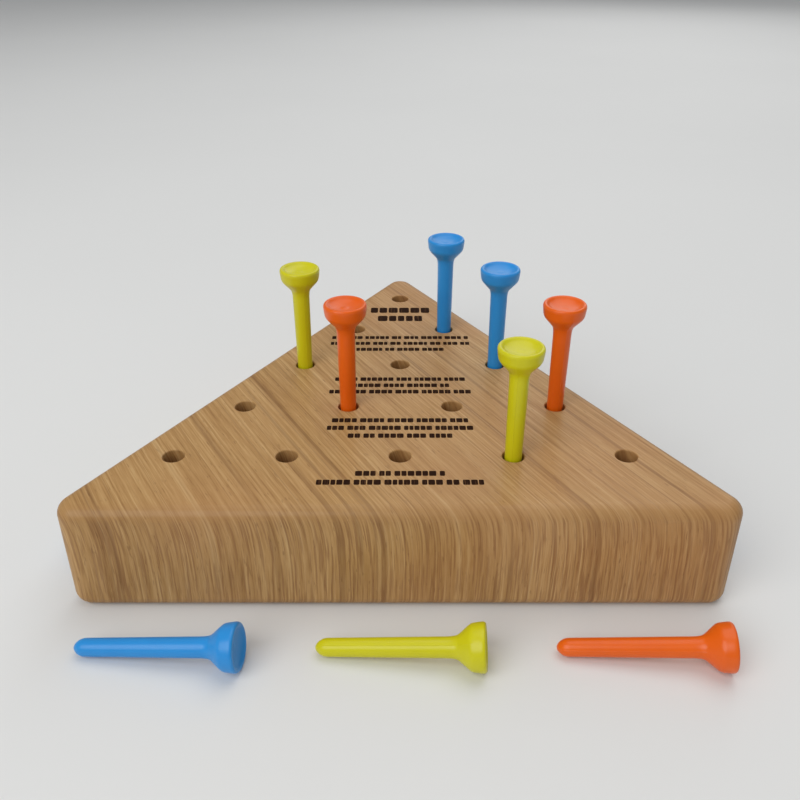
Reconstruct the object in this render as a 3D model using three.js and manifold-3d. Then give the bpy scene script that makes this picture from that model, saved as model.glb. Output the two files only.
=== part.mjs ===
// Triangle peg jump game: a solid timber board with fifteen blind holes, and fifteen moulded plastic pegs.
//
// Millimetres, +Z up. The board lies flat with the apex of its triangle towards +Y, away from the player. The
// origin is on the underside of the board, below the centre of the triangle of holes. Six pegs stand in their
// holes, three lie in front of the board, and six lie behind it along the two slanted sides.

import * as THREE from 'three';
import { mergeVertices } from 'three/addons/utils/BufferGeometryUtils.js';
import Module from 'manifold-3d';

// Holes: a triangular grid, row 1 at the apex and row 5 along the front edge.
const rows = 5;
const pitch = 18.5;
const holeDiameter = 3.6;
const holeDepth = 5.0;
const drillPointAngle = 118;
const holeRimBreak = 0.2;
const holeSides = 20;

// Board: an equilateral outline whose front margin is wider than the two slanted ones.
const boardThickness = 19.2;
const frontMargin = 15;
const slantedMargin = 7.7;
const cornerRadius = 3.2;
const topRoundOver = 2.2;
const bottomRoundOver = 2.2;
const cornerSteps = 6;
const topRoundSteps = 4;
const bottomRoundSteps = 4;

// Peg: a tapered shaft with a bullet tip, a flared head whose rim widens a little, and a shallow dish on top.
const pegLength = 25.5;
const headRadius = 3.7;
const rimBaseRadius = 3.52;
const shaftTopRadius = 1.56;
const shaftTipRadius = 1.38;
const tipLength = 1.6;
const flareStart = 20.3;
const rimStart = 23.7;
const rimBreak = 0.35;
const rimWall = 0.65;
const dishDepth = 0.8;
const pegSides = 16;

// Where the pegs are: how deep one stands in its hole, and how the loose ones lie on the table.
const standingDepth = 5.5;
const tableGap = 0.05;
const frontRowGap = 10.7;
const frontRowSpacing = 36;
const frontRowTurn = -5.5;
const sideRowGap = 3.2;
const sideRowSpacing = 28;
const sideRowShift = -4;

const standingPegs = [
  { name: 'blue_peg_1', colour: 'blue', row: 2, place: 2 },
  { name: 'blue_peg_2', colour: 'blue', row: 3, place: 3 },
  { name: 'yellow_peg_1', colour: 'yellow', row: 3, place: 1 },
  { name: 'yellow_peg_2', colour: 'yellow', row: 5, place: 4 },
  { name: 'orange_peg_1', colour: 'orange', row: 4, place: 2 },
  { name: 'orange_peg_2', colour: 'orange', row: 4, place: 4 },
];
const pegColours = ['blue', 'yellow', 'orange'];

const materials = {
  board: { color: 0xb58f62, roughness: 0.6, metalness: 0 },
  blue: { color: 0x3a85c8, roughness: 0.32, metalness: 0 },
  yellow: { color: 0xc4ba22, roughness: 0.32, metalness: 0 },
  orange: { color: 0xdc5a1c, roughness: 0.32, metalness: 0 },
};

// Lengths that follow from the driving dimensions.
const rowPitch = pitch * Math.sin(Math.PI / 3);
const centreToSideHoles = ((rows - 1) * rowPitch) / 3;
const centreToFront = centreToSideHoles + frontMargin;
const centreToSlanted = centreToSideHoles + slantedMargin;
const holeRadius = holeDiameter / 2;
const drillPointDepth = holeRadius / Math.tan(THREE.MathUtils.degToRad(drillPointAngle / 2));

const wasm = await Module();
wasm.setup();

const game = new THREE.Group();

// A closed three.js geometry as a manifold solid, for joining and cutting.
function toSolid(geometry) {
  const bare = geometry.clone();
  bare.deleteAttribute('normal');
  bare.deleteAttribute('uv');
  const merged = mergeVertices(bare, 1e-4);
  return new wasm.Manifold(new wasm.Mesh({
    numProp: 3,
    vertProperties: new Float32Array(merged.attributes.position.array),
    triVerts: new Uint32Array(merged.index.array),
  }));
}

function toGeometry(solid) {
  const mesh = solid.getMesh();
  const geometry = new THREE.BufferGeometry();
  geometry.setAttribute('position', new THREE.BufferAttribute(mesh.vertProperties, 3));
  geometry.setIndex(new THREE.BufferAttribute(mesh.triVerts, 1));
  geometry.computeVertexNormals();
  return geometry;
}

// A profile of [radius, height] points turned about the Z axis.
function turned(profile, sides) {
  const points = profile.map(([radius, height]) => new THREE.Vector2(radius, height));
  return new THREE.LatheGeometry(points, sides).rotateX(Math.PI / 2);
}

function addMesh(name, geometry, look, place = new THREE.Matrix4()) {
  const mesh = new THREE.Mesh(geometry, new THREE.MeshStandardMaterial(materials[look]));
  mesh.name = name;
  place.decompose(mesh.position, mesh.quaternion, mesh.scale);
  game.add(mesh);
}

// The centre of a hole: row 1 is the apex, and places count from the left.
function holeCentre(row, place) {
  const x = (place - (row + 1) / 2) * pitch;
  const y = (rows - row) * rowPitch - centreToSideHoles;
  return new THREE.Vector2(x, y);
}

// The board's plan: three sides at their distances from the origin, joined by corner arcs.
function boardOutline() {
  const left = -(centreToFront * 0.5 + centreToSlanted) / Math.sin(Math.PI / 3);
  const corners = [
    { at: new THREE.Vector2(-left, -centreToFront), start: -90 },
    { at: new THREE.Vector2(0, 2 * centreToSlanted), start: 30 },
    { at: new THREE.Vector2(left, -centreToFront), start: 150 },
  ];
  const shape = new THREE.Shape();
  for (const { at, start } of corners) {
    const inward = THREE.MathUtils.degToRad(start + 60 + 180);
    const x = at.x + 2 * cornerRadius * Math.cos(inward);
    const y = at.y + 2 * cornerRadius * Math.sin(inward);
    const from = THREE.MathUtils.degToRad(start);
    shape.absarc(x, y, cornerRadius, from, from + THREE.MathUtils.degToRad(120), false);
  }
  shape.closePath();
  return shape;
}

// The outline as a prism between two heights, with both of its rims rounded.
function roundedPrism(low, high, radius, steps) {
  const depth = high - low - 2 * radius;
  const geometry = new THREE.ExtrudeGeometry(boardOutline(), {
    depth,
    curveSegments: cornerSteps,
    bevelThickness: radius,
    bevelSize: radius,
    bevelOffset: -radius,
    bevelSegments: steps,
  });
  return toSolid(geometry.translate(0, 0, low + radius));
}

// The space of one drilled hole, up to a little above the board.
function holeSpace() {
  const mouth = holeRadius + holeRimBreak;
  const above = 1;
  return toSolid(turned([
    [0, -holeDepth - drillPointDepth],
    [holeRadius, -holeDepth],
    [holeRadius, -holeRimBreak],
    [mouth, 0],
    [mouth, above],
    [0, above],
  ], holeSides));
}

function makeBoard() {
  const spare = 10;
  const roundedAbove = roundedPrism(-spare, boardThickness, topRoundOver, topRoundSteps);
  const roundedBelow = roundedPrism(0, boardThickness + spare, bottomRoundOver, bottomRoundSteps);
  let board = roundedAbove.intersect(roundedBelow);
  const hole = holeSpace();
  for (let row = 1; row <= rows; row += 1) {
    for (let place = 1; place <= row; place += 1) {
      const centre = holeCentre(row, place);
      board = board.subtract(hole.translate([centre.x, centre.y, boardThickness]));
    }
  }
  addMesh('board', toGeometry(board), 'board');
}

// One peg, standing on its tip at the origin.
function pegGeometry() {
  const rise = rimStart - flareStart;
  const flare = rimBaseRadius - shaftTopRadius;
  const dishRim = headRadius - rimWall;
  return turned([
    [0, 0],
    [shaftTipRadius * 0.45, tipLength * 0.1],
    [shaftTipRadius * 0.85, tipLength * 0.47],
    [shaftTipRadius, tipLength],
    [shaftTopRadius, flareStart],
    [shaftTopRadius + flare * 0.13, flareStart + rise * 0.33],
    [shaftTopRadius + flare * 0.82, flareStart + rise * 0.77],
    [rimBaseRadius, rimStart],
    [headRadius, pegLength - rimBreak],
    [headRadius - rimBreak, pegLength],
    [dishRim, pegLength],
    [dishRim * 0.6, pegLength - dishDepth * 0.8],
    [0, pegLength - dishDepth],
  ], pegSides);
}

function placeStandingPegs(geometry) {
  for (const { name, colour, row, place } of standingPegs) {
    const centre = holeCentre(row, place);
    const height = boardThickness - standingDepth;
    addMesh(name, geometry, colour, new THREE.Matrix4().makeTranslation(centre.x, centre.y, height));
  }
}

// A peg lying on the table on its tip and its rim, its middle over (x, y) and its head towards the heading.
function lyingPlace(x, y, heading) {
  const tilt = Math.atan2(headRadius - shaftTipRadius, pegLength - rimBreak - tipLength);
  const height = tableGap + shaftTipRadius * Math.cos(tilt) - tipLength * Math.sin(tilt);
  const half = (pegLength / 2) * Math.cos(tilt);
  const place = new THREE.Matrix4().makeRotationZ(heading);
  place.multiply(new THREE.Matrix4().makeTranslation(-half, 0, height));
  place.multiply(new THREE.Matrix4().makeRotationY(Math.PI / 2 - tilt));
  return new THREE.Matrix4().makeTranslation(x, y, 0).multiply(place);
}

// One loose peg of each colour lies in front of the board, in a row along its edge. The heads point to the
// right, turned a little towards the player.
function placeFrontRow(geometry) {
  const y = -centreToFront - frontRowGap;
  const heading = THREE.MathUtils.degToRad(frontRowTurn);
  pegColours.forEach((colour, index) => {
    const x = (index - 1) * frontRowSpacing;
    addMesh(`${colour}_peg_3`, geometry, colour, lyingPlace(x, y, heading));
  });
}

// The other loose pegs lie along the two slanted sides, close behind the board, tips towards the apex.
function placeSideRows(geometry) {
  const away = centreToSlanted + sideRowGap + headRadius;
  const sides = [
    { number: 4, outward: THREE.MathUtils.degToRad(150), along: THREE.MathUtils.degToRad(60) },
    { number: 5, outward: THREE.MathUtils.degToRad(30), along: THREE.MathUtils.degToRad(120) },
  ];
  for (const { number, outward, along } of sides) {
    pegColours.forEach((colour, index) => {
      const run = sideRowShift + (index - 1) * sideRowSpacing;
      const x = away * Math.cos(outward) + run * Math.cos(along);
      const y = away * Math.sin(outward) + run * Math.sin(along);
      addMesh(`${colour}_peg_${number}`, geometry, colour, lyingPlace(x, y, along + Math.PI));
    });
  }
}

makeBoard();
const peg = pegGeometry();
placeStandingPegs(peg);
placeFrontRow(peg);
placeSideRows(peg);

export default game;
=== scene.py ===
import math
import random

import bmesh
import bpy
import numpy as np
from mathutils import Matrix, Vector


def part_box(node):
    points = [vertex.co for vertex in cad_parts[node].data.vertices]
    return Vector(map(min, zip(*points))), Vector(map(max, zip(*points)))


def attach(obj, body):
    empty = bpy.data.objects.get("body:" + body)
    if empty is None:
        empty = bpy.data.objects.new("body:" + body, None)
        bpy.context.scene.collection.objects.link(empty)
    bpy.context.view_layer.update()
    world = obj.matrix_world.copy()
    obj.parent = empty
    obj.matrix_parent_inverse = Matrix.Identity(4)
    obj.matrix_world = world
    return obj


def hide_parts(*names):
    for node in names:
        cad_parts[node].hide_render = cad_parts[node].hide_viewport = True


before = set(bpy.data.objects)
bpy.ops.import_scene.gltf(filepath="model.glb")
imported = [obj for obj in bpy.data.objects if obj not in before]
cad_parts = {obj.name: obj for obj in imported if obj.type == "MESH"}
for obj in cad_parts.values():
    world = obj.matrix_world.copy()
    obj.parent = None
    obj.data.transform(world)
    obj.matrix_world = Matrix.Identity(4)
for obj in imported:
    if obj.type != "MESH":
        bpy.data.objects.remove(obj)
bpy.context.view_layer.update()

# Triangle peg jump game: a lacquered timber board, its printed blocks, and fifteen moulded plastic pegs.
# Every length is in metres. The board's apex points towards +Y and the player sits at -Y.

MM = 0.001
COLOURS = ("blue", "yellow", "orange")
PEGS = [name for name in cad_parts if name.split("_")[0] in COLOURS]

# Sizes read from the frame.
board_low, board_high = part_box("board")
peg_low, peg_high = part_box("blue_peg_1")
BOARD_TOP = board_high.z
PEG_LENGTH = peg_high.z - peg_low.z
HEAD_RADIUS = (peg_high.x - peg_low.x) / 2


def middle(node):
    low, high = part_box(node)
    return (low + high) / 2


# blue_peg_1 and blue_peg_2 stand in neighbouring holes on the right-hand side of the triangle.
PITCH = (middle("blue_peg_1") - middle("blue_peg_2")).length
ROWS = 5
ROW_PITCH = PITCH * math.sin(math.pi / 3)
FRONT_ROW_Y = -(ROWS - 1) * ROW_PITCH / 3

# Board and holes.
CORNER_RADIUS = 3.2 * MM
TOP_ROUND = 2.2 * MM
BOTTOM_ROUND = 2.2 * MM
HOLE_RADIUS = 1.8 * MM
HOLE_DEPTH = 5.0 * MM
HOLE_RIM = 0.25 * MM
DRILL_POINT = 1.08 * MM
DRILL_TIP_SHARE = 0.12
MOUTH_SHADE = 0.25
WALL_SHADE = 0.6
CORNER_STEPS = 20
SIDE_STEPS = 28
TOP_ROUND_STEPS = 14
BOTTOM_ROUND_STEPS = 8
HOLE_RIM_STEPS = 5
HOLE_SIDES = 48

# Pegs.
PEG_SIDES = 60
SEAM_HALF_ANGLE = math.radians(1.3)
SEAM_HEIGHT_MM = 0.025


# ---------------------------------------------------------------- meshes

def to_piece(name, bm, material, sharp_angle=34):
    """The bmesh as a smooth-shaded object whose normals follow its large faces."""
    bmesh.ops.recalc_face_normals(bm, faces=bm.faces)
    mesh = bpy.data.meshes.new(name)
    bm.to_mesh(mesh)
    bm.free()
    mesh.shade_smooth()
    mesh.set_sharp_from_angle(angle=math.radians(sharp_angle))
    mesh.materials.append(material)
    piece = bpy.data.objects.new(name, mesh)
    bpy.context.scene.collection.objects.link(piece)
    weighted = piece.modifiers.new("weighted", "WEIGHTED_NORMAL")
    weighted.keep_sharp = True
    weighted.weight = 80
    evaluated = piece.evaluated_get(bpy.context.evaluated_depsgraph_get())
    final = bpy.data.meshes.new_from_object(evaluated)
    piece.modifiers.clear()
    piece.data = final
    final.name = name
    return piece


def bridge(bm, lower, upper):
    """Quads between two rings of the same number of vertices."""
    count = len(lower)
    for i in range(count):
        j = (i + 1) % count
        bm.faces.new((lower[i], lower[j], upper[j], upper[i]))


def ring_edges(bm, ring):
    return [bm.edges.get((ring[i], ring[(i + 1) % len(ring)])) for i in range(len(ring))]


def quarter(radius, steps):
    """(inset, drop, weight of the painted edge shade) along a quarter round, from its vertical side to
    its flat side.
    """
    for i in range(steps + 1):
        angle = math.pi / 2 * i / steps
        yield radius * (1 - math.cos(angle)), radius * (1 - math.sin(angle)), math.sin(2 * angle)


def board_ring(inset):
    """The board's outline, moved inwards. Its corner centres stay where they are."""
    apex_centre = Vector((0, board_high.y - CORNER_RADIUS))
    right_centre = Vector((board_high.x - CORNER_RADIUS, board_low.y + CORNER_RADIUS))
    left_centre = Vector((-right_centre.x, right_centre.y))
    radius = CORNER_RADIUS - inset
    arcs = []
    for centre, start in ((right_centre, -90), (apex_centre, 30), (left_centre, 150)):
        angles = [math.radians(start + 120 * i / CORNER_STEPS) for i in range(CORNER_STEPS + 1)]
        arcs.append([centre + radius * Vector((math.cos(a), math.sin(a))) for a in angles])
    points = []
    for index, arc in enumerate(arcs):
        points += arc
        following = arcs[(index + 1) % len(arcs)][0]
        points += [arc[-1].lerp(following, i / SIDE_STEPS) for i in range(1, SIDE_STEPS)]
    return points


def hole_centres():
    for row in range(1, ROWS + 1):
        for place in range(1, row + 1):
            yield Vector(((place - (row + 1) / 2) * PITCH, FRONT_ROW_Y + (ROWS - row) * ROW_PITCH))


def make_board(material):
    bm = bmesh.new()
    # Per-vertex weight of the painted shade along the rounded edges.
    edge_band_shade = bm.verts.layers.float.new("edge_band_shade")
    # Per-vertex weight of the painted shade inside the holes.
    hole_shade = bm.verts.layers.float.new("hole_shade")

    def outline_ring(inset, z, edge_shade_weight=0.0):
        ring = [bm.verts.new((p.x, p.y, z)) for p in board_ring(inset)]
        for vert in ring:
            vert[edge_band_shade] = edge_shade_weight
        return ring

    rings = []
    for inset, drop, edge_shade_weight in reversed(list(quarter(BOTTOM_ROUND, BOTTOM_ROUND_STEPS))):
        rings.append(outline_ring(inset, drop, edge_shade_weight * 0.6))
    wall_low, wall_high = BOTTOM_ROUND, BOARD_TOP - TOP_ROUND
    wall_steps = 8
    for i in range(1, wall_steps):
        rings.append(outline_ring(0, wall_low + (wall_high - wall_low) * i / wall_steps))
    for inset, drop, edge_shade_weight in quarter(TOP_ROUND, TOP_ROUND_STEPS):
        rings.append(outline_ring(inset, BOARD_TOP - drop, edge_shade_weight))
    for lower, upper in zip(rings, rings[1:]):
        bridge(bm, lower, upper)
    bm.faces.new(rings[0])

    def hole_ring(centre, radius, z, hole_shade_value):
        ring = []
        for i in range(HOLE_SIDES):
            angle = math.tau * i / HOLE_SIDES
            x = centre.x + radius * math.cos(angle)
            y = centre.y + radius * math.sin(angle)
            vert = bm.verts.new((x, y, z))
            vert[hole_shade] = hole_shade_value
            ring.append(vert)
        return ring

    mouths = []
    for centre in hole_centres():
        stack = []
        for inset, drop, _ in reversed(list(quarter(HOLE_RIM, HOLE_RIM_STEPS))):
            # The rim turns from the flat top, at its widest, into the wall of the hole.
            shade = MOUTH_SHADE * (1 - inset / HOLE_RIM)
            stack.append(hole_ring(centre, HOLE_RADIUS + inset, BOARD_TOP - drop, shade))
        wall_steps = 6
        for i in range(1, wall_steps + 1):
            share = i / wall_steps
            z = BOARD_TOP - HOLE_RIM - (HOLE_DEPTH - HOLE_RIM) * share
            stack.append(hole_ring(centre, HOLE_RADIUS, z, MOUTH_SHADE + WALL_SHADE * share))
        point_z = BOARD_TOP - HOLE_DEPTH - DRILL_POINT * (1 - DRILL_TIP_SHARE)
        stack.append(hole_ring(centre, HOLE_RADIUS * DRILL_TIP_SHARE, point_z, 1.0))
        for upper, lower in zip(stack, stack[1:]):
            bridge(bm, lower, upper)
        bm.faces.new(stack[-1])
        mouths.append(stack[0])
    bm.edges.index_update()
    flat_edges = ring_edges(bm, rings[-1])
    for mouth in mouths:
        flat_edges += ring_edges(bm, mouth)
    bmesh.ops.triangle_fill(bm, edges=flat_edges, use_beauty=True, normal=(0, 0, 1))
    return to_piece("board_block", bm, material)


def bezier(a, b, c, d, steps):
    """Points along a cubic curve, without its first point."""
    a, b, c, d = (Vector(p) for p in (a, b, c, d))
    for i in range(1, steps + 1):
        t = i / steps
        yield a * (1 - t) ** 3 + b * 3 * t * (1 - t) ** 2 + c * 3 * t * t * (1 - t) + d * t ** 3


def peg_profile():
    """(radius, height) in millimetres, from the tip to the middle of the dish.

    The head stays a hair inside the CAD peg, which has flat sides.
    """
    head = HEAD_RADIUS / MM - 0.02
    top = PEG_LENGTH / MM - 0.005
    tip_side = (1.11, 0.86)
    shaft_start = (1.38, 1.9)
    shaft_end = (1.555, 19.4)
    cone_start = (1.96, 21.5)
    cone_end = (3.06, 22.78)
    rim_start = (3.53, 23.75)
    rim_end = (head - 0.01, 24.95)
    crown = (head - 0.38, top)
    dish_edge = (head - 0.98, top - 0.35)
    dish_floor = (0.62, top - 0.8)
    dish_boss = (0.48, top - 0.77)
    points = [Vector((0, 0))]
    points += bezier((0, 0), (0.42, 0.0), (0.84, 0.38), tip_side, 8)
    points += bezier(tip_side, (1.28, 1.18), (1.37, 1.5), shaft_start, 5)
    points += bezier(shaft_start, (1.43, 7.5), (1.5, 13.5), shaft_end, 10)
    points += bezier(shaft_end, (1.565, 20.4), (1.63, 21.1), cone_start, 8)
    points += bezier(cone_start, (2.35, 21.97), (2.7, 22.35), cone_end, 6)
    points += bezier(cone_end, (3.3, 23.07), (3.47, 23.3), rim_start, 7)
    points += bezier(rim_start, (3.58, 24.15), (3.64, 24.55), rim_end, 4)
    points += bezier(rim_end, (head, 25.25), (head - 0.14, top), crown, 7)
    points += bezier(crown, (head - 0.62, top), (head - 0.74, top - 0.15), dish_edge, 6)
    points += bezier(dish_edge, (head - 1.55, top - 0.68), (1.4, top - 0.8), dish_floor, 8)
    points += bezier(dish_floor, (0.55, top - 0.8), (0.55, top - 0.77), dish_boss, 3)
    points.append(Vector((0, top - 0.77)))
    return points


def make_peg_mesh(name, material):
    """A moulded peg standing on its tip at the origin, with a fine line where the mould's halves meet."""
    half = PEG_SIDES // 2
    angles = [(math.tau * i / PEG_SIDES, 0.0) for i in range(PEG_SIDES) if i % half]
    for seam in (0.0, math.pi):
        angles += [(seam - SEAM_HALF_ANGLE, 0.0), (seam, SEAM_HEIGHT_MM), (seam + SEAM_HALF_ANGLE, 0.0)]
    angles.sort()
    profile = peg_profile()
    bm = bmesh.new()
    tip = bm.verts.new((0, 0, 0))
    dish = bm.verts.new((0, 0, profile[-1].y * MM))
    rings = []
    for radius, height in profile[1:-1]:
        seam_here = 1.0 if 1.0 < height < PEG_LENGTH / MM - 1.8 else 0.0
        ring = []
        for angle, ridge in angles:
            r = (radius + ridge * seam_here) * MM
            ring.append(bm.verts.new((r * math.cos(angle), r * math.sin(angle), height * MM)))
        rings.append(ring)
    for lower, upper in zip(rings, rings[1:]):
        bridge(bm, lower, upper)
    for ring, point in ((rings[0], tip), (rings[-1], dish)):
        for i in range(len(ring)):
            bm.faces.new((ring[i], ring[(i + 1) % len(ring)], point))
    return to_piece(name, bm, material, sharp_angle=50)


def peg_place(node):
    """Where a CAD peg is: a matrix that takes a peg standing on its tip at the origin to it."""
    points = np.array([v.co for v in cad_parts[node].data.vertices])
    points = np.unique(points.round(7), axis=0)
    centre = points.mean(axis=0)
    axis = np.linalg.svd(points - centre)[2][0]
    along = (points - centre) @ axis
    spread = np.linalg.norm(points - centre - np.outer(along, axis), axis=1)
    if spread[along > 0].max() < spread[along < 0].max():
        axis, along = -axis, -along
    tip = Vector(points[along.argmin()])
    head_plane = points[along > along.max() - 0.1 * MM]
    direction = (Vector(head_plane.mean(axis=0)) - tip).normalized()
    turn = Vector((0, 0, 1)).rotation_difference(direction)
    return Matrix.Translation(tip) @ turn.to_matrix().to_4x4()


# Printed lines, in millimetres: row of holes above, distance below that row, width, height of the blocks.
PRINTED_LINES = (
    (1, 6.4, 14.2, 2.7), (1, 10.7, 11.6, 2.7),
    (2, 4.1, 28.4, 1.35), (2, 6.8, 29.0, 1.35), (2, 9.5, 17.6, 1.35),
    (3, 6.0, 25.0, 1.35), (3, 8.4, 19.4, 1.35), (3, 10.8, 27.0, 1.35),
    (4, 4.9, 23.8, 1.35), (4, 7.4, 25.2, 1.35), (4, 9.9, 18.2, 1.35),
    (5, 5.0, 15.0, 1.35), (5, 7.4, 26.7, 1.35),
)
INK_THICKNESS = 0.02 * MM
BLOCK_GAP = 0.12
GROUP_GAP = 0.30
BLOCK_ROUNDING = 0.16


def make_print(material):
    """Rows of plain rounded blocks in groups, where the real board has its printed lines."""
    chance = random.Random(5)
    bm = bmesh.new()
    for row, below, width, height in PRINTED_LINES:
        y = FRONT_ROW_Y + (ROWS - row) * ROW_PITCH - below * MM
        blocks = []
        left = 0.0
        while left < width - 0.6 * height:
            for _ in range(chance.randint(2, 6)):
                span = chance.uniform(0.5, 0.85) * height
                if left + span > width:
                    break
                blocks.append((left, span))
                left += span + BLOCK_GAP * height
            left += GROUP_GAP * height
        last_start, last_span = blocks[-1]
        shift = -(last_start + last_span) / 2
        for start, span in blocks:
            add_block(bm, (shift + start) * MM, y, span * MM, height * MM)
    return to_piece("board_print", bm, material)


def add_block(bm, left, y, length, height):
    """One flat block with rounded corners, just proud of the board's top."""
    radius = BLOCK_ROUNDING * height
    outline = []
    corners = (
        (left + length - radius, y - height / 2 + radius, -90),
        (left + length - radius, y + height / 2 - radius, 0),
        (left + radius, y + height / 2 - radius, 90),
        (left + radius, y - height / 2 + radius, 180),
    )
    for x, cy, start in corners:
        for i in range(5):
            angle = math.radians(start + 22.5 * i)
            outline.append((x + radius * math.cos(angle), cy + radius * math.sin(angle)))
    low = [bm.verts.new((x, cy, BOARD_TOP - INK_THICKNESS)) for x, cy in outline]
    high = [bm.verts.new((x, cy, BOARD_TOP + INK_THICKNESS)) for x, cy in outline]
    bridge(bm, low, high)
    bm.faces.new(high)
    bm.faces.new(low)


# ---------------------------------------------------------------- materials

class Nodes:
    """A small helper for building a material's node tree."""

    def __init__(self, name):
        self.material = bpy.data.materials.new(name)
        self.material.use_nodes = True
        self.tree = self.material.node_tree
        self.shader = self.tree.nodes["Principled BSDF"]

    def add(self, kind, inputs=(), **settings):
        node = self.tree.nodes.new("ShaderNode" + kind)
        for key, value in settings.items():
            setattr(node, key, value)
        for key, value in dict(inputs).items():
            self.put(node.inputs[key], value)
        return node

    def put(self, socket, value):
        if isinstance(value, bpy.types.NodeSocket):
            self.tree.links.new(value, socket)
        else:
            socket.default_value = value

    def math(self, operation, a, b=0.0, clamp=False):
        return self.add("Math", {0: a, 1: b}, operation=operation, use_clamp=clamp).outputs[0]

    def range(self, value, low, high, to_low=0.0, to_high=1.0, smooth=False):
        kind = "SMOOTHSTEP" if smooth else "LINEAR"
        inputs = {"Value": value, "From Min": low, "From Max": high, "To Min": to_low, "To Max": to_high}
        return self.add("MapRange", inputs, interpolation_type=kind).outputs[0]

    def mix(self, share, a, b, blend="MIX"):
        node = self.add("Mix", data_type="RGBA", blend_type=blend)
        self.put(node.inputs["Factor"], share)
        self.put([s for s in node.inputs if s.name == "A" and s.type == "RGBA"][0], a)
        self.put([s for s in node.inputs if s.name == "B" and s.type == "RGBA"][0], b)
        return [s for s in node.outputs if s.type == "RGBA"][0]

    def noise(self, vector, scale, detail=2.0, roughness=0.5):
        inputs = {"Vector": vector, "Scale": scale, "Detail": detail, "Roughness": roughness}
        return self.add("TexNoise", inputs).outputs["Fac"]

    def noise_line(self, value, scale, detail=2.0, roughness=0.5):
        inputs = {"W": value, "Scale": scale, "Detail": detail, "Roughness": roughness}
        return self.add("TexNoise", inputs, noise_dimensions="1D").outputs["Fac"]

    def stretched(self, x, y, z, scales):
        parts = [self.math("MULTIPLY", value, scale) for value, scale in zip((x, y, z), scales)]
        return self.add("CombineXYZ", {"X": parts[0], "Y": parts[1], "Z": parts[2]}).outputs[0]


def colour(red, green, blue):
    """An 8-bit display colour as the linear one that a shader takes."""
    parts = []
    for value in (red, green, blue):
        share = value / 255
        parts.append(share / 12.92 if share <= 0.04045 else ((share + 0.055) / 1.055) ** 2.4)
    return (*parts, 1.0)


GRAIN_TURN = math.radians(-30)


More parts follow.
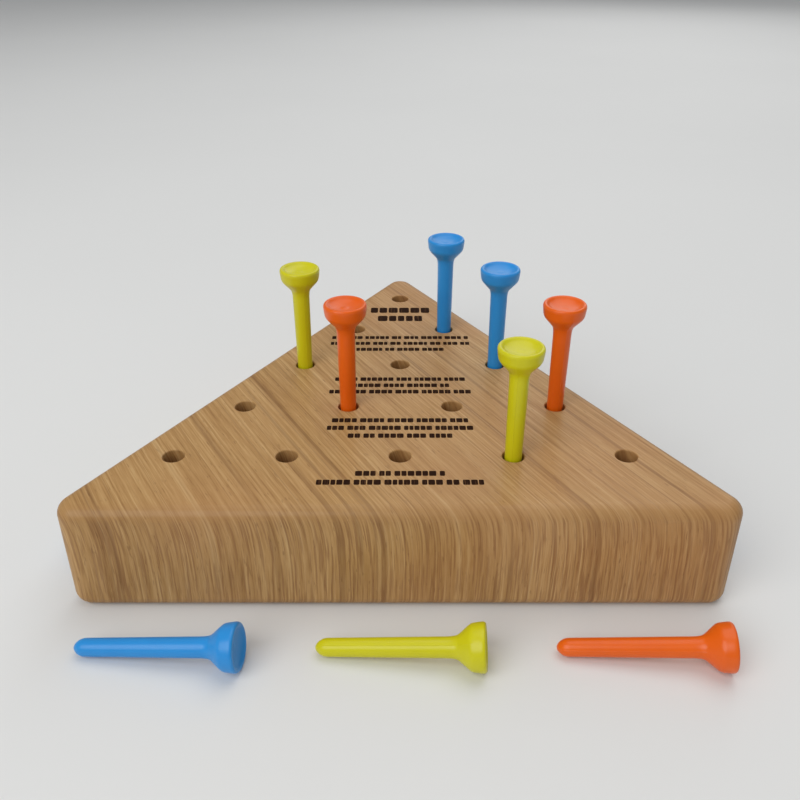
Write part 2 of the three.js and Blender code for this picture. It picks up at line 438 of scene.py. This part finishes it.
def wood_material():
    """Straight-grained timber: thin upright sheets that run parallel to the board's right-hand side."""
    n = Nodes("board_timber")
    place = n.add("TexCoord").outputs["Object"]
    turned = n.add("Mapping", {"Vector": place, "Rotation": (0, 0, GRAIN_TURN)}).outputs[0]
    split = n.add("SeparateXYZ", {0: turned})
    across, along, up = split.outputs

    # The sheets wander a little, and lean over where they near the top of the board.
    slow = n.noise(n.stretched(across, along, up, (20, 5, 9)), 1.0, 2.0)
    quick = n.noise(n.stretched(across, along, up, (170, 12, 42)), 1.0, 2.0)
    warp = n.math("MULTIPLY", n.math("SUBTRACT", slow, 0.5), 5.0 * MM)
    warp_quick = n.math("MULTIPLY", n.math("SUBTRACT", quick, 0.5), 0.45 * MM)
    height_share = n.math("DIVIDE", up, BOARD_TOP)
    lean = n.math("MULTIPLY", n.math("POWER", height_share, 5.0), 1.3 * MM)
    sheet = n.math("ADD", n.math("ADD", across, lean), n.math("ADD", warp, warp_quick))

    def layer(scales, detail=2.0, roughness=0.55):
        return n.noise(n.stretched(sheet, along, up, scales), 1.0, detail, roughness)

    broad = layer((95, 6, 6))
    bands = layer((620, 12, 12), 3.0)
    fine = layer((2300, 34, 40), 2.0, 0.6)
    fibre = layer((5400, 260, 300))
    tone = n.math("ADD", n.math("MULTIPLY", broad, 0.12), n.math("MULTIPLY", bands, 0.18))
    tone = n.math("ADD", tone, n.math("MULTIPLY", fine, 0.46))
    tone = n.math("ADD", tone, n.math("MULTIPLY", fibre, 0.24))

    ramp = n.add("ValToRGB", {"Fac": tone})
    stops = ramp.color_ramp.elements
    stops[0].position, stops[0].color = 0.32, colour(142, 101, 56)
    stops[1].position, stops[1].color = 0.70, colour(208, 172, 121)
    between = ((0.43, colour(169, 128, 76)), (0.51, colour(182, 141, 88)), (0.59, colour(193, 154, 101)))
    for position, shade in between:
        stop = stops.new(position)
        stop.color = shade
    timber = ramp.outputs[0]

    # Narrow growth lines: some dark, some pale, each fading in and out along the board.
    def crest(scale, seed, width, present):
        wave = n.noise_line(n.math("ADD", sheet, seed), scale, 1.0)
        near = n.math("ABSOLUTE", n.math("SUBTRACT", wave, 0.5))
        patch = layer((90 + 40 * seed, 14, 14), 1.0)
        return n.math("MULTIPLY", n.range(near, 0.0, width, 1.0, 0.0, smooth=True),
                      n.range(patch, present, present + 0.12, smooth=True))

    dark_lines = crest(340, 1.0, 0.030, 0.46)
    pale_lines = crest(300, 3.0, 0.026, 0.50)
    timber = n.mix(n.math("MULTIPLY", dark_lines, 0.42), timber, colour(116, 78, 40))
    timber = n.mix(n.math("MULTIPLY", pale_lines, 0.40), timber, colour(218, 184, 132))

    # Only the sides get darker, redder fine streaks: fibres of the grain, and painted shade that keeps
    # the sides darker than the lit top.
    side = n.range(up, BOARD_TOP - 0.9 * TOP_ROUND, BOARD_TOP - 0.2 * TOP_ROUND, 1.0, 0.0, smooth=True)
    side_streaks_and_shade = n.range(layer((3400, 60, 110), 2.0, 0.6), 0.38, 0.53, 1.0, 0.0, smooth=True)
    side_streaks_and_shade = n.math("MULTIPLY", side_streaks_and_shade, side)
    timber = n.mix(n.math("MULTIPLY", side_streaks_and_shade, 0.46), timber, colour(122, 78, 44))

    # The right-hand side is cut along a sheet, so it shows long fibres instead of stripes.
    right_side = (board_high.y + CORNER_RADIUS) / 2
    cut_along = n.range(across, right_side - 2.0 * MM, right_side - 0.5 * MM, smooth=True)
    timber = n.mix(n.math("MULTIPLY", cut_along, 0.55), timber, colour(172, 131, 82))
    long_noise = n.noise(n.stretched(across, along, up, (200, 24, 1500)), 1.0, 3.0, 0.6)
    fibres = n.math("MULTIPLY", n.range(long_noise, 0.42, 0.60, smooth=True), cut_along)
    timber = n.mix(n.math("MULTIPLY", fibres, 0.40), timber, colour(128, 86, 48))

    # Short open pores, and a slow drift of hue over the block.
    pores = n.range(layer((3400, 420, 460), 1.0), 0.66, 0.75, smooth=True)
    timber = n.mix(n.math("MULTIPLY", pores, 0.36), timber, colour(104, 68, 36))
    drift = n.noise(place, 24.0, 2.0)
    timber = n.mix(n.range(drift, 0.45, 0.70, 0.0, 0.30), timber, colour(178, 122, 76))

    # Painted shade along the rounded edges, which dims the lamps' highlight on the rounding.
    edge_band_shade = n.add("Attribute", attribute_name="edge_band_shade").outputs["Fac"]
    timber = n.mix(n.math("MULTIPLY", edge_band_shade, 0.30), timber, colour(152, 112, 70))
    # Painted shade inside each hole, darker towards its bottom.
    hole_shade = n.add("Attribute", attribute_name="hole_shade").outputs["Fac"]
    timber = n.mix(n.math("MULTIPLY", hole_shade, 0.45), timber, colour(120, 74, 38))

    n.put(n.shader.inputs["Base Color"], timber)
    rough = n.range(tone, 0.35, 0.65, 0.56, 0.44)
    n.put(n.shader.inputs["Roughness"], n.math("ADD", rough, n.math("MULTIPLY", hole_shade, 0.3)))
    n.shader.inputs["Specular IOR Level"].default_value = 0.25
    n.shader.inputs["Coat Weight"].default_value = 0.12
    n.shader.inputs["Coat Roughness"].default_value = 0.2
    height = n.math("SUBTRACT", tone, n.math("MULTIPLY", n.math("ADD", pores, dark_lines), 0.25))
    bump = n.add("Bump", {"Strength": 0.3, "Distance": 0.04 * MM, "Height": height})
    n.put(n.shader.inputs["Normal"], bump.outputs[0])
    return n.material


def plastic_material(name, base, shadow):
    """Injection-moulded plastic: nearly even colour, and a satin skin with faint handling marks."""
    n = Nodes(name)
    place = n.add("TexCoord").outputs["Object"]
    cloud = n.noise(place, 160.0, 3.0, 0.6)
    n.put(n.shader.inputs["Base Color"], n.mix(n.range(cloud, 0.35, 0.7, 0.0, 0.30), base, shadow))
    flattened = n.add("Mapping", {"Vector": place, "Scale": (1.0, 1.0, 0.25)}).outputs[0]
    marks = n.noise(flattened, 1400.0, 3.0, 0.6)
    n.put(n.shader.inputs["Roughness"], n.range(marks, 0.35, 0.7, 0.28, 0.35))
    skin = n.noise(place, 260.0, 1.0)
    bump = n.add("Bump", {"Strength": 0.05, "Distance": 0.02 * MM, "Height": skin})
    n.put(n.shader.inputs["Normal"], bump.outputs[0])
    n.shader.inputs["Specular IOR Level"].default_value = 0.4
    n.shader.inputs["Subsurface Weight"].default_value = 0.08
    n.shader.inputs["Subsurface Radius"].default_value = (1.0, 1.0, 1.0)
    n.shader.inputs["Subsurface Scale"].default_value = 0.6 * MM
    return n.material


def ink_material():
    """Thin dark ink that lets a little of the grain through."""
    n = Nodes("dark_ink")
    place = n.add("TexCoord").outputs["Object"]
    along_grain = {"Vector": place, "Rotation": (0, 0, GRAIN_TURN), "Scale": (1, 0.06, 0.06)}
    turned = n.add("Mapping", along_grain).outputs[0]
    worn = n.range(n.noise(turned, 2600.0, 3.0, 0.6), 0.52, 0.72, smooth=True)
    ink = n.mix(n.math("MULTIPLY", worn, 0.6), colour(44, 26, 17), colour(104, 72, 44))
    n.put(n.shader.inputs["Base Color"], ink)
    n.put(n.shader.inputs["Roughness"], n.range(worn, 0, 1, 0.75, 0.65))
    n.shader.inputs["Specular IOR Level"].default_value = 0.03
    return n.material


def floor_material():
    n = Nodes("pale_floor")
    place = n.add("TexCoord").outputs["Object"]
    cloud = n.noise(place, 6.0, 3.0)
    n.put(n.shader.inputs["Base Color"], n.mix(cloud, colour(226, 226, 224), colour(232, 232, 230)))
    n.shader.inputs["Roughness"].default_value = 0.85
    return n.material


# ---------------------------------------------------------------- the game

wood = wood_material()
board = make_board(wood)
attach(board, "board")
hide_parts("board")

printing = make_print(ink_material())
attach(printing, "board")

plastics = {
    "blue": plastic_material("blue_plastic", colour(42, 147, 221), colour(34, 131, 206)),
    "yellow": plastic_material("yellow_plastic", colour(212, 206, 16), colour(196, 190, 12)),
    "orange": plastic_material("orange_plastic", colour(238, 102, 10), colour(220, 86, 8)),
}
GOLDEN_TURN = math.radians(137.5)
for index, node in enumerate(sorted(PEGS)):
    tint = node.split("_")[0]
    peg = make_peg_mesh(node + "_moulding", plastics[tint])
    peg.data.transform(peg_place(node) @ Matrix.Rotation(index * GOLDEN_TURN, 4, "Z"))
    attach(peg, node)
    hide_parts(node)


# ---------------------------------------------------------------- floor, light and camera

def make_floor():
    half = 1.2
    bm = bmesh.new()
    corners = ((-half, -half), (half, -half), (half, half), (-half, half))
    bm.faces.new([bm.verts.new((x, y, -0.05 * MM)) for x, y in corners])
    return to_piece("floor", bm, floor_material())


def aim(thing, target):
    thing.rotation_euler = (Vector(target) - thing.location).to_track_quat("-Z", "Y").to_euler()


def add_light(name, place, target, size, power):
    light = bpy.data.lights.new(name, "AREA")
    light.shape = "DISK"
    light.size = size
    light.energy = power
    lamp = bpy.data.objects.new(name, light)
    lamp.location = place
    bpy.context.scene.collection.objects.link(lamp)
    aim(lamp, target)


def add_camera():
    """In front of the board and above it, close by, so that the pegs lean outwards as they rise."""
    elevation = math.radians(30.1)
    distance = 9.1 * PITCH
    target = Vector((0, FRONT_ROW_Y + 1.5 * PITCH, BOARD_TOP - 0.3 * PITCH))
    camera = bpy.data.cameras.new("camera")
    camera.sensor_width = 36
    camera.lens = 39
    camera.clip_start = 0.01
    viewer = bpy.data.objects.new("camera", camera)
    viewer.location = target + distance * Vector((0, -math.cos(elevation), math.sin(elevation)))
    bpy.context.scene.collection.objects.link(viewer)
    aim(viewer, target)
    bpy.context.scene.camera = viewer


make_floor()
middle_of_board = (0, 0, BOARD_TOP)
add_light("key", (-0.35, -0.48, 0.53), middle_of_board, 0.70, 3.4)
add_light("overhead", (0.12, 0.20, 0.78), middle_of_board, 0.85, 2.3)
add_light("back_panel", (0.22, 0.70, 0.42), middle_of_board, 0.60, 0.9)
world = bpy.data.worlds.new("studio")
world.use_nodes = True
world.node_tree.nodes["Background"].inputs["Color"].default_value = (0.9, 0.92, 0.95, 1)
world.node_tree.nodes["Background"].inputs["Strength"].default_value = 0.30
bpy.context.scene.world = world
bpy.context.scene.view_settings.view_transform = "Standard"
add_camera()
